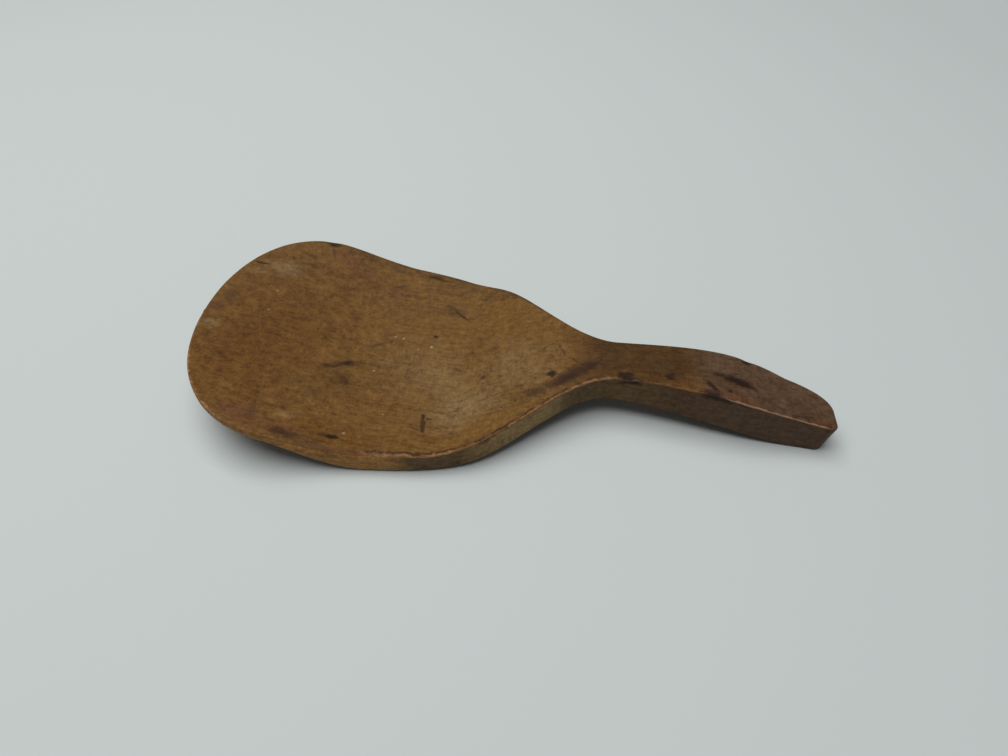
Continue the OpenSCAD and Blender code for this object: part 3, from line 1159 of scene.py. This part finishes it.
@dataclass(frozen=True)
class OldWood:
    """The spoon's finish: close-grained hardwood, browned by age, fat and handling, with some light and shade
    painted into its colours.

    Args:
        face: The blade's colour.
        neck: The darker brown of the neck's top: partly the wood's own tone, partly painted shade where the
            top curves up from the blade.
        handle: The dark, reddish brown of the gripped end.
        wall: The brown of the cut walls.
        lit_shoulder_wall: The wall painted lighter where the blade draws in to the neck: painted light, where
            that wall faces more of the light.
        grip_wall: The wall's colour on the handle.
        belly_wall_reflection: The dull grey-brown of the near wall beside the hollow: a painted reflection of
            the pale floor.
        lit_front_wall: The wall at the front of the blade, painted lighter: painted light where the rounded
            front rim faces up into the light.
        under: The underside's colour.
        worn: The pale colour of the rubbed arris: wood rubbed bare, with a painted highlight where light
            catches the arris.
        worn_grip_and_highlight: The same on the handle, pinker: worn wood with a painted highlight.
        layers: The grain's layers, from broad clouds to fine fibres.
        rubs_and_highlights: The paler stretches of the near arris: rubbed wood and painted highlight.
        rubbed_near_and_highlight: How pale the near arris is elsewhere.
        rubbed_far: How pale the far arris is.
        rim_lines: The reddish line along the near rim, a darker line along the far arris, and painted shade
            in a groove just inside the near arris.
        belly_run: Where the wall has the belly's colour.
        shoulder_run: Where it has the shoulder's.
        front_wall_starts: Where the front's wall colour starts, on the way to the tip, and where it is full.
        grip_wall_starts: Where the handle's wall colour starts, and where it is full.
        neck_starts: Where the neck's colour starts, and where it is full.
        grip_starts: Where the handle's colour starts, and where it is full.
        border_ragged: How far the borders of those two colours wander.
        wall_border_ragged: How far the borders of the wall's colours wander.
        ring_gap: The distance between growth rings.
        ring_shade: How much a growth ring darkens the wood.
        pith_y: Where the pith lies across the spoon.
        pith_z: How far the pith lies below the table.
        mark_reach: Where a mark has faded out, as a share of its half size.
    """

    face: tuple[int, int, int] = (107, 76, 36)
    # The neck's brown is partly the wood's own tone, partly painted shade
    neck: tuple[int, int, int] = (74, 49, 21)
    handle: tuple[int, int, int] = (87, 66, 48)
    wall: tuple[int, int, int] = (100, 79, 52)
    # The shoulder and front walls are painted lighter as painted light; the near wall by the hollow holds a
    # painted reflection of the floor
    lit_shoulder_wall: tuple[int, int, int] = (152, 124, 82)
    grip_wall: tuple[int, int, int] = (87, 64, 46)
    belly_wall_reflection: tuple[int, int, int] = (100, 78, 53)
    lit_front_wall: tuple[int, int, int] = (154, 111, 62)
    under: tuple[int, int, int] = (104, 77, 44)
    # The pale arris colours: partly wear, partly painted highlight
    worn: tuple[int, int, int] = (158, 120, 84)
    worn_grip_and_highlight: tuple[int, int, int] = (176, 134, 108)
    layers: tuple[Grain, ...] = (
        Grain(0.055, 0.055, 4.0, 0.60, 0.11, 31.0),
        Grain(0.16, 0.22, 4.0, 0.65, 0.14, 37.0),
        Grain(0.36, 0.55, 4.0, 0.60, 0.32, 43.0),
        Grain(0.060, 1.3, 5.0, 0.62, 0.19, 11.0),
        Grain(0.35, 3.0, 3.0, 0.60, 0.17, 17.0),
        Grain(0.90, 1.0, 3.0, 0.60, 0.14, 61.0),
        Grain(1.9, 2.1, 2.0, 0.60, 0.14, 47.0),
        Grain(1.7, 0.28, 3.0, 0.60, 0.13, 41.0),
    )
    # Paler stretches of the near arris: rubbed wood with a painted highlight
    rubs_and_highlights: tuple[RubAndHighlight, ...] = (
        RubAndHighlight(Run(-112.0, -88.0, 3.0, 3.0), 0.9),
        RubAndHighlight(Run(-42.0, -12.0, 3.0, 3.0), 0.8),
        RubAndHighlight(Run(2.0, 20.0, 2.0, 2.0), 0.5),
        RubAndHighlight(Run(20.0, 36.0, 2.0, 2.0), 0.85),
        RubAndHighlight(Run(36.0, 66.0, 3.0, 3.0), 0.25),
        RubAndHighlight(Run(74.0, 109.0, 2.5, 2.5), 0.9),
    )
    rubbed_near_and_highlight: float = 0.12
    rubbed_far: float = 0.08
    rim_lines: tuple[RimLine, ...] = (
        RimLine(RUDDY_RIM, Side.NEAR, Run(-60.0, 34.0, 6.0, 6.0), 0.6, 1.5, 0.5, 0.25, 0.25, 0.45, 71.0, 0.6),
        # A darker line along the far arris
        RimLine(DARK_RIM_LINE, Side.FAR, Run(-84.0, 14.0, 6.0, 6.0), 0.2, 1.5, 0.3, 0.12, 0.35, 0.6, 67.0, 0.65),
        # Painted shade: a dark line just inside the near arris, where a groove would lie in shade
        RimLine(DARK_RIM_LINE, Side.NEAR, Run(-46.0, 32.0, 5.0, 5.0), 1.3, 0.9, 0.15, 0.30, 0.36, 0.52, 59.0, 0.75),
    )
    belly_run: Run = Run(-26.5, -12.0, 2.5, 4.0)
    shoulder_run: Run = Run(-6.0, 20.0, 8.0, 6.0)
    front_wall_starts: tuple[float, float] = (-25.0, -33.0)
    grip_wall_starts: tuple[float, float] = (45.0, 65.0)
    neck_starts: tuple[float, float] = (16.0, 36.0)
    grip_starts: tuple[float, float] = (58.0, 74.0)
    border_ragged: float = 12.0
    wall_border_ragged: float = 16.0
    ring_gap: float = 3.1
    ring_shade: float = 0.15
    pith_y: float = 24.0
    pith_z: float = 95.0
    mark_reach: float = 1.2

    @staticmethod
    def _mix(sketch: NodeSketch, under: object, over: object, share: object,
             blend: str = "MIX") -> bpy.types.NodeSocket:
        """One colour laid over another.

        Args:
            sketch: The material's tree.
            under: The colour below.
            over: The colour on top.
            share: How much of the top one shows.
            blend: How the two combine.

        Returns:
            The mixed colour.
        """
        node = sketch.add("ShaderNodeMix", data_type="RGBA", blend_type=blend, clamp_factor=True)
        for number, value in ((0, share), (6, under), (7, over)):
            sketch.feed(node.inputs[number], value)
        return node.outputs[2]

    def _mark_group(self) -> bpy.types.NodeTree:
        """A node group that gives one elliptical mark with a ragged, fading edge.

        Returns:
            The group: place, edge noise, middle, turn, size, softness and strength in, mask out.
        """
        group = bpy.data.node_groups.new("soft_mark", "ShaderNodeTree")
        for name, kind in (
                ("Place", "Vector"), ("Edge", "Float"), ("Middle", "Vector"), ("Turn", "Float"),
                ("Size", "Vector"), ("Soft", "Float"), ("Strength", "Float"), ("Under", "Float")):
            group.interface.new_socket(name, in_out="INPUT", socket_type="NodeSocket" + kind)
        group.interface.new_socket("Mask", in_out="OUTPUT", socket_type="NodeSocketFloat")
        sketch = NodeSketch(group)
        given = sketch.add("NodeGroupInput").outputs
        turned = sketch.add("ShaderNodeVectorRotate", {
            "Vector": given["Place"], "Center": given["Middle"], "Angle": given["Turn"]},
            rotation_type="Z_AXIS", invert=True).outputs[0]
        scaled = sketch.vector("DIVIDE", sketch.vector("SUBTRACT", turned, given["Middle"]), given["Size"])
        radius = sketch.vector("LENGTH", sketch.vector("MULTIPLY", scaled, (1.0, 1.0, 0.0)))
        inner = sketch.math("SUBTRACT", 1.0, given["Soft"])
        mask = sketch.ramp(sketch.math("ADD", radius, given["Edge"]), self.mark_reach, inner)
        strong = sketch.math("MULTIPLY", mask, given["Strength"])
        out = sketch.add("NodeGroupOutput")
        group.links.new(sketch.math("MAXIMUM", strong, given["Under"]), out.inputs["Mask"])
        return group

    def _marks(self, sketch: NodeSketch, group: bpy.types.NodeTree, place: bpy.types.NodeSocket,
               edge: bpy.types.NodeSocket, tint: Tint) -> object:
        """All marks of one tint as one mask.

        Args:
            sketch: The material's tree.
            group: The group that draws one mark.
            place: The place in millimetres, a little warped.
            edge: The noise that makes the edges ragged.
            tint: The tint.

        Returns:
            The strongest mark's mask at each place.
        """
        mask: object = 0.0
        for mark in MARKS[tint]:
            node = sketch.add("ShaderNodeGroup", node_tree=group)
            for name, value in (
                    ("Place", place), ("Edge", edge), ("Middle", (mark.x, mark.y, 0.0)),
                    ("Turn", math.radians(mark.turn)), ("Size", (mark.half_len, mark.half_wid, 1.0)),
                    ("Soft", mark.soft), ("Strength", mark.strength), ("Under", mask)):
                sketch.feed(node.inputs[name], value)
            mask = node.outputs[0]
        return mask

    def _places(self, sketch: NodeSketch) -> WoodPlaces:
        """Reads the part's own coordinates and the mesh's rim distances."""
        place = sketch.vector("SCALE", sketch.add("ShaderNodeTexCoord").outputs["Object"], 1.0 / MM)
        x, y, z = sketch.add("ShaderNodeSeparateXYZ", {0: place}).outputs
        rim, sole = (sketch.add("ShaderNodeAttribute", attribute_name=name).outputs["Fac"]
                     for name in (UPPER_ARC, LOWER_ARC))
        return WoodPlaces(place, x, y, z, rim, sole, sketch.ramp(rim, 3.0, 1.0))

    def _warped(self, sketch: NodeSketch, place: bpy.types.NodeSocket, scale: float,
                reach: float) -> bpy.types.NodeSocket:
        """The place pushed about by noise, so that what is drawn at it has no clean outline."""
        noise = sketch.add("ShaderNodeTexNoise", {
            "Vector": place, "Scale": scale, "Detail": 4.0, "Roughness": 0.65})
        push = sketch.vector("SUBTRACT", noise.outputs["Color"], (0.5, 0.5, 0.5))
        return sketch.vector("ADD", place, sketch.vector("SCALE", push, reach))

    def _ring(self, sketch: NodeSketch, at: WoodPlaces) -> bpy.types.NodeSocket:
        """Thin dark lines where the growth rings round the pith meet the surface."""
        drift = sketch.noise(sketch.stretch(at.place, 0.012, 0.03, 0.03), 1.0, 2.0, 0.5, 3.0)
        ripple = sketch.noise(sketch.stretch(at.place, 0.05, 0.12, 0.12), 1.0, 2.0, 0.5, 5.0)
        across = sketch.math("SUBTRACT", at.y, self.pith_y)
        down = sketch.math("ADD", at.z, self.pith_z)
        reach = sketch.math("SQRT", sketch.math("ADD", sketch.math("MULTIPLY", across, across),
                                                sketch.math("MULTIPLY", down, down)))
        reach = sketch.math("ADD", reach, sketch.math("ADD", sketch.math("MULTIPLY", drift, 26.0),
                                                      sketch.math("MULTIPLY", ripple, 2.6)))
        wave = sketch.math("SINE", sketch.math("MULTIPLY", reach, 2 * math.pi / self.ring_gap))
        patch = sketch.noise(sketch.stretch(at.place, 0.03, 0.10, 0.10), 1.0, 3.0, 0.6, 7.0)
        return sketch.math("MULTIPLY", sketch.ramp(wave, 0.1, 1.0), sketch.ramp(patch, 0.42, 0.62))

    def _figure(self, sketch: NodeSketch, at: WoodPlaces) -> Figure:
        """Draws the grain, the growth rings and the pores, with more pores in the middle of the blade.

        Args:
            sketch: The material's tree.
            at: What the material reads.

        Returns:
            The wood's figure.
        """
        values = [sketch.noise(sketch.stretch(at.place, layer.along, layer.across, layer.across), 1.0,
                               layer.detail, layer.rough, layer.seed) for layer in self.layers]
        ring = self._ring(sketch, at)
        pores = sketch.noise(sketch.stretch(at.place, 0.9, 3.0, 3.0), 1.0, 2.0, 0.5, 23.0)
        pore = sketch.ramp(pores, 0.62, 0.72)
        shade: object = 1.0
        for layer, value in zip(self.layers, values):
            shade = sketch.math("ADD", shade, sketch.swing(value, -layer.amount, layer.amount))
        shade = sketch.math("SUBTRACT", shade, sketch.math("MULTIPLY", ring, self.ring_shade))
        pore_zone = sketch.math("MULTIPLY", sketch.ramp(at.x, -20.0, -50.0, 0.15, 0.45),
                                sketch.ramp(at.y, 6.0, -6.0, 0.5, 1.0))
        shade = sketch.math("MULTIPLY", shade, sketch.math(
            "SUBTRACT", 1.0, sketch.math("MULTIPLY", pore, pore_zone)))
        shades = sketch.add("ShaderNodeCombineXYZ", {
            0: sketch.math("POWER", shade, 0.85), 1: shade,
            2: sketch.math("POWER", shade, 1.15)}).outputs[0]
        cloud, blotch, mottle, fibre, fine = values[:5]
        return Figure(cloud, blotch, mottle, fibre, fine, ring, pore, shades)

    def _near_rubs_and_highlights(self, sketch: NodeSketch, at: WoodPlaces) -> object:
        """How pale the near arris is along the spoon: rubbed wood with a painted highlight."""
        rubbed: object = self.rubbed_near_and_highlight
        for rub in self.rubs_and_highlights:
            here = sketch.math("MULTIPLY", sketch.inside(at.x, rub.run), rub.strength)
            rubbed = sketch.math("MAXIMUM", rubbed, here)
        return rubbed

    def _walls(self, sketch: NodeSketch, at: WoodPlaces, figure: Figure,
               colour: bpy.types.NodeSocket) -> bpy.types.NodeSocket:
        """Lays the cut walls' and the underside's colours over the face's, with painted light on the front
        and shoulder walls and a painted reflection on the near wall by the hollow.

        Args:
            sketch: The material's tree.
            at: What the material reads.
            figure: The wood's figure, which makes the borders uneven.
            colour: The colour so far.

        Returns:
            The colour with walls and underside.
        """
        uneven = sketch.math("SUBTRACT", figure.cloud, 0.5)
        uneven = sketch.math("MULTIPLY", uneven, self.wall_border_ragged)
        x = sketch.math("ADD", at.x, uneven)
        near = sketch.ramp(at.y, 0.0, -10.0)
        tone: object = shown_colour(*self.wall)
        # The front and shoulder walls are painted lighter as painted light; the near wall by the hollow
        # carries a painted reflection of the floor
        for tint, share in (
                (self.lit_shoulder_wall, sketch.inside(x, self.shoulder_run)),
                (self.belly_wall_reflection, sketch.math("MULTIPLY", sketch.inside(x, self.belly_run), near)),
                (self.lit_front_wall, sketch.ramp(x, *self.front_wall_starts)),
                (self.grip_wall, sketch.ramp(x, *self.grip_wall_starts)),
                (self.under, sketch.ramp(at.sole, 0.0, 3.0))):
            tone = self._mix(sketch, tone, shown_colour(*tint), share)
        down = sketch.ramp(at.rim, 0.15, 0.9)
        return self._mix(sketch, colour, tone, sketch.math("MULTIPLY", down, 0.95))

    def _stained(self, sketch: NodeSketch, at: WoodPlaces, figure: Figure,
                 colour: bpy.types.NodeSocket) -> tuple[bpy.types.NodeSocket, object]:
        """Lays the marks over the colour: broad tints first, then the grain, then stains and specks.

        Args:
            sketch: The material's tree.
            at: What the material reads.
            figure: The wood's figure.
            colour: The colour so far.

        Returns:
            The marked colour, and how stained each place is.
        """
        group = self._mark_group()
        broad_place = self._warped(sketch, at.place, 0.09, 10.0)
        close_place = self._warped(sketch, at.place, 0.5, 1.2)
        broad_edge = sketch.swing(figure.blotch, -0.35, 0.35)
        close_edge = sketch.math("ADD", sketch.swing(figure.mottle, -0.15, 0.15),
                                 sketch.swing(figure.fine, -0.15, 0.15))
        streaks = sketch.ramp(figure.fibre, 0.3, 0.62, 0.8, 1.0, False)
        stained: object = 0.0
        for tint in Tint:
            place, edge = (broad_place, broad_edge) if tint.is_broad else (close_place, close_edge)
            mask = sketch.math("MULTIPLY", self._marks(sketch, group, place, edge, tint), at.face)
            if tint is Tint.SHADE or tint.is_stain:
                mask = sketch.math("MULTIPLY", mask, streaks)
            if tint.is_stain:
                stained = sketch.math("MAXIMUM", stained, mask)
            if tint is Tint.BROWN:
                colour = self._mix(sketch, colour, figure.shades, 1.0, "MULTIPLY")
            colour = self._mix(sketch, colour, shown_colour(*tint.value), mask)
        return colour, stained

    def _rim_wear_shade_and_highlight(self, sketch: NodeSketch, at: WoodPlaces, figure: Figure,
                  colour: bpy.types.NodeSocket) -> bpy.types.NodeSocket:
        """Lays the lines along the rims and the pale arris over the colour, with painted shade and a painted
        highlight among them.

        Args:
            sketch: The material's tree.
            at: What the material reads.
            figure: The wood's figure, which makes the lines waver.
            colour: The colour so far.

        Returns:
            The colour with its reddish rim, its dark rim lines, one of them painted shade in a groove, and
            its arris pale with wear and painted highlight.
        """
        waver = sketch.math("ADD", sketch.swing(figure.mottle, -0.9, 0.9),
                            sketch.swing(figure.fine, -0.3, 0.3))
        waver = sketch.math("MULTIPLY", waver, sketch.ramp(at.x, 55.0, 70.0, 0.8, 0.25))
        rim = sketch.math("ADD", at.rim, waver)

        def on_side(side: Side) -> bpy.types.NodeSocket:
            """1 on one long side of the spoon."""
            return sketch.ramp(at.y, 0.0, 4.0 * side.value)

        def patches(scale: float, start: float, end: float, seed: float) -> bpy.types.NodeSocket:
            """Noise that shows only in patches."""
            return sketch.ramp(sketch.noise(at.place, scale, 3.0, 0.65, seed), start, end)

        for line in self.rim_lines:
            across = sketch.math("ABSOLUTE", sketch.math("ADD", rim, line.inside))
            share = sketch.math("MULTIPLY", on_side(line.side), sketch.inside(at.x, line.run))
            share = sketch.math("MULTIPLY", share, sketch.ramp(across, line.half_wid, line.core))
            broken = patches(line.patch_scale, line.patch_from, line.patch_to, line.seed)
            share = sketch.math("MULTIPLY", sketch.math("MULTIPLY", share, broken), line.strength)
            colour = self._mix(sketch, colour, shown_colour(*line.colour), share)

        # The pale arris is partly rubbed wood and partly a painted highlight where light catches it, pinker
        # on the handle
        rubbed = sketch.math("MULTIPLY", self._near_rubs_and_highlights(sketch, at), on_side(Side.NEAR))
        rubbed = sketch.math("MAXIMUM", rubbed, self.rubbed_far)
        patchy = sketch.math("MAXIMUM", patches(0.8, 0.40, 0.56, 53.0),
                             sketch.ramp(at.x, 0.0, 30.0, 0.35, 0.8))
        half_wid = sketch.ramp(at.x, 60.0, 72.0, 0.85, 0.5)
        worn = sketch.math("MULTIPLY", sketch.ramp(sketch.math("ABSOLUTE", rim), half_wid, 0.1), rubbed)
        worn = sketch.math("MULTIPLY", worn, patchy)
        pale = self._mix(sketch, shown_colour(*self.worn), shown_colour(*self.worn_grip_and_highlight),
                         sketch.ramp(at.x, 50.0, 70.0))
        return self._mix(sketch, colour, pale, sketch.math("MULTIPLY", worn, 0.9))

    def _relief(self, sketch: NodeSketch, figure: Figure, stained: object) -> bpy.types.NodeSocket:
        """The fine relief of fibres, pores and rings, a little sunk where the wood is stained."""
        height = sketch.math("MULTIPLY", figure.fibre, 0.35)
        for value, share in ((figure.fine, 0.30), (figure.pore, -0.30),
                             (figure.ring, -0.10), (stained, -0.25)):
            height = sketch.math("ADD", height, sketch.math("MULTIPLY", value, share))
        bump = sketch.add("ShaderNodeBump", {"Strength": 0.45, "Distance": 0.00025, "Height": height})
        return bump.outputs[0]

    def material(self) -> bpy.types.Material:
        """Builds the material.

        Returns:
            The old wood, which reads the part's own coordinates and the mesh's rim distances.
        """
        material = bpy.data.materials.new("old_carved_wood")
        material.use_nodes = True
        tree = material.node_tree
        tree.nodes.clear()
        sketch = NodeSketch(tree)
        at = self._places(sketch)
        figure = self._figure(sketch, at)
        uneven = sketch.math("MULTIPLY", sketch.math("SUBTRACT", figure.mottle, 0.5), self.border_ragged)
        ragged_x = sketch.math("ADD", at.x, uneven)
        # The neck's darker brown is partly the wood's own tone and partly painted shade where its top curves
        # up
        colour = self._mix(sketch, shown_colour(*self.face), shown_colour(*self.neck),
                           sketch.ramp(ragged_x, *self.neck_starts))
        grip = sketch.ramp(ragged_x, *self.grip_starts)
        colour = self._mix(sketch, colour, shown_colour(*self.handle), grip)
        colour = self._walls(sketch, at, figure, colour)
        colour, stained = self._stained(sketch, at, figure, colour)
        colour = self._rim_wear_shade_and_highlight(sketch, at, figure, colour)
        rough = sketch.math("SUBTRACT", sketch.swing(figure.blotch, 0.55, 0.72),
                            sketch.math("MULTIPLY", grip, 0.18))
        shader = sketch.add("ShaderNodeBsdfPrincipled", {
            "Base Color": colour, "Roughness": rough, "Normal": self._relief(sketch, figure, stained),
            "Specular IOR Level": 0.12})
        out = sketch.add("ShaderNodeOutputMaterial")
        tree.links.new(shader.outputs[0], out.inputs["Surface"])
        return material


@dataclass(frozen=True)
class PaleFloor:
    """A plain pale floor under the spoon, which keeps its shadow.

    Args:
        half: Half its size, in metres.
        colour: Its colour, as it shows.
        fade_from: How far from the middle it starts to blend into the backdrop, in metres.
        fade_to: Where it has blended.
    """

    half: float = 3.0
    colour: tuple[int, int, int] = (196, 202, 200)
    fade_from: float = 0.36
    fade_to: float = 0.75

    def build(self) -> bpy.types.Object:
        """Makes the floor."""
        mesh = bpy.data.meshes.new("pale_floor")
        h = self.half
        mesh.from_pydata([(-h, -h, 0), (h, -h, 0), (h, h, 0), (-h, h, 0)], [], [(0, 1, 2, 3)])
        material = bpy.data.materials.new("pale_floor")
        material.use_nodes = True
        shader = material.node_tree.nodes["Principled BSDF"]
        shader.inputs["Base Color"].default_value = shown_colour(*self.colour)
        shader.inputs["Roughness"].default_value = 0.9
        shader.inputs["Specular IOR Level"].default_value = 0.1
        sketch = NodeSketch(material.node_tree)
        place = sketch.add("ShaderNodeTexCoord").outputs["Object"]
        away = sketch.ramp(sketch.vector("LENGTH", place), self.fade_from, self.fade_to)
        seen = sketch.add("ShaderNodeLightPath").outputs["Is Camera Ray"]
        glow = sketch.add("ShaderNodeEmission", {"Color": shown_colour(*BACKDROP)}).outputs[0]
        both = sketch.add("ShaderNodeMixShader", {0: sketch.math("MULTIPLY", away, seen),
                                                  1: shader.outputs[0], 2: glow}).outputs[0]
        sketch.feed(material.node_tree.nodes["Material Output"].inputs["Surface"], both)
        mesh.materials.append(material)
        floor = bpy.data.objects.new("pale_floor", mesh)
        bpy.context.scene.collection.objects.link(floor)
        return floor


@dataclass(frozen=True)
class Softbox:
    """A square lamp that looks at the spoon.

    Args:
        name: Its name.
        place: Where it stands, in metres.
        size: The length of its side.
        watts: Its power.
    """

    name: str
    place: tuple[float, float, float]
    size: float
    watts: float

    def build(self) -> bpy.types.Object:
        """Makes the lamp, aimed at the origin."""
        lamp = bpy.data.lights.new(self.name, "AREA")
        lamp.size = self.size
        lamp.energy = self.watts
        holder = bpy.data.objects.new(self.name, lamp)
        holder.location = self.place
        holder.rotation_euler = Vector(self.place).to_track_quat("Z", "Y").to_euler()
        bpy.context.scene.collection.objects.link(holder)
        return holder


@dataclass(frozen=True)
class Studio:
    """Plain soft light: one large lamp high over the spoon and a pale sky."""

    lamps: tuple[Softbox, ...] = (
        Softbox("high_window", (-0.26, 0.08, 1.20), 1.10, 16.9),
    )
    sky: float = 0.12

    def build(self) -> None:
        """Makes the lamps and sets the world's light."""
        for lamp in self.lamps:
            lamp.build()
        world = bpy.data.worlds.new("pale_sky")
        world.use_nodes = True
        light = world.node_tree.nodes["Background"]
        light.inputs["Color"].default_value = (0.93, 0.96, 1.0, 1.0)
        light.inputs["Strength"].default_value = self.sky
        sketch = NodeSketch(world.node_tree)
        seen = sketch.add("ShaderNodeLightPath").outputs["Is Camera Ray"]
        backdrop = sketch.add("ShaderNodeBackground", {"Color": shown_colour(*BACKDROP)}).outputs[0]
        both = sketch.add("ShaderNodeMixShader", {0: seen, 1: light.outputs[0], 2: backdrop}).outputs[0]
        sketch.feed(world.node_tree.nodes["World Output"].inputs["Surface"], both)
        bpy.context.scene.world = world


@dataclass(frozen=True)
class PhotoView:
    """The camera at the photograph's viewing angle.

    Args:
        looks_at: The point on the table in the middle of the picture, in millimetres.
        distance: From there to the camera, in millimetres.
        swing: How far the view is turned from +Y, in degrees, clockwise seen from above.
        fall: How far it looks down, in degrees.
        roll: How far the camera's right side is raised, in degrees.
        lens: Focal length in millimetres, on a frame 36 mm wide.
    """

    looks_at: tuple[float, float, float] = (-2.3, 1.9, 0.0)
    distance: float = 260.5
    swing: float = -7.48
    fall: float = 50.07
    roll: float = 1.30
    lens: float = 25.0

    def build(self) -> bpy.types.Object:
        """Makes the camera and sets it as the scene's."""
        swing, fall = math.radians(self.swing), math.radians(self.fall)
        forward = Vector((math.sin(swing) * math.cos(fall),
                          math.cos(swing) * math.cos(fall), -math.sin(fall)))
        level_right = forward.cross(Vector((0, 0, 1))).normalized()
        level_up = level_right.cross(forward)
        roll = math.radians(self.roll)
        right = level_right * math.cos(roll) + level_up * math.sin(roll)
        up = right.cross(forward)
        turn = Matrix((right, up, -forward)).transposed().to_4x4()
        lens = bpy.data.cameras.new("photo_view")
        lens.lens = self.lens
        lens.sensor_width = 36.0
        lens.clip_start = 0.01
        camera = bpy.data.objects.new("photo_view", lens)
        place = (Vector(self.looks_at) - forward * self.distance) * MM
        camera.matrix_world = Matrix.Translation(place) @ turn
        bpy.context.scene.collection.objects.link(camera)
        bpy.context.scene.camera = camera
        return camera


def main() -> None:
    """Builds the spoon around the frame, then the stage, the light and the camera."""
    logging.basicConfig(level=logging.INFO, format="%(name)s: %(message)s")
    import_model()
    bpy.context.scene.view_settings.view_transform = "Standard"
    PhotoView().build()
    Studio().build()
    PaleFloor().build()

    spoon = CarvedSpoon().build(HandWorkedSurface(), OldWood())
    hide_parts(SPOON_NODE)
    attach(spoon, "root")
    log.info("%s: %d points, %d faces", spoon.name, len(spoon.data.vertices), len(spoon.data.polygons))


if __name__ == "__main__":
    main()
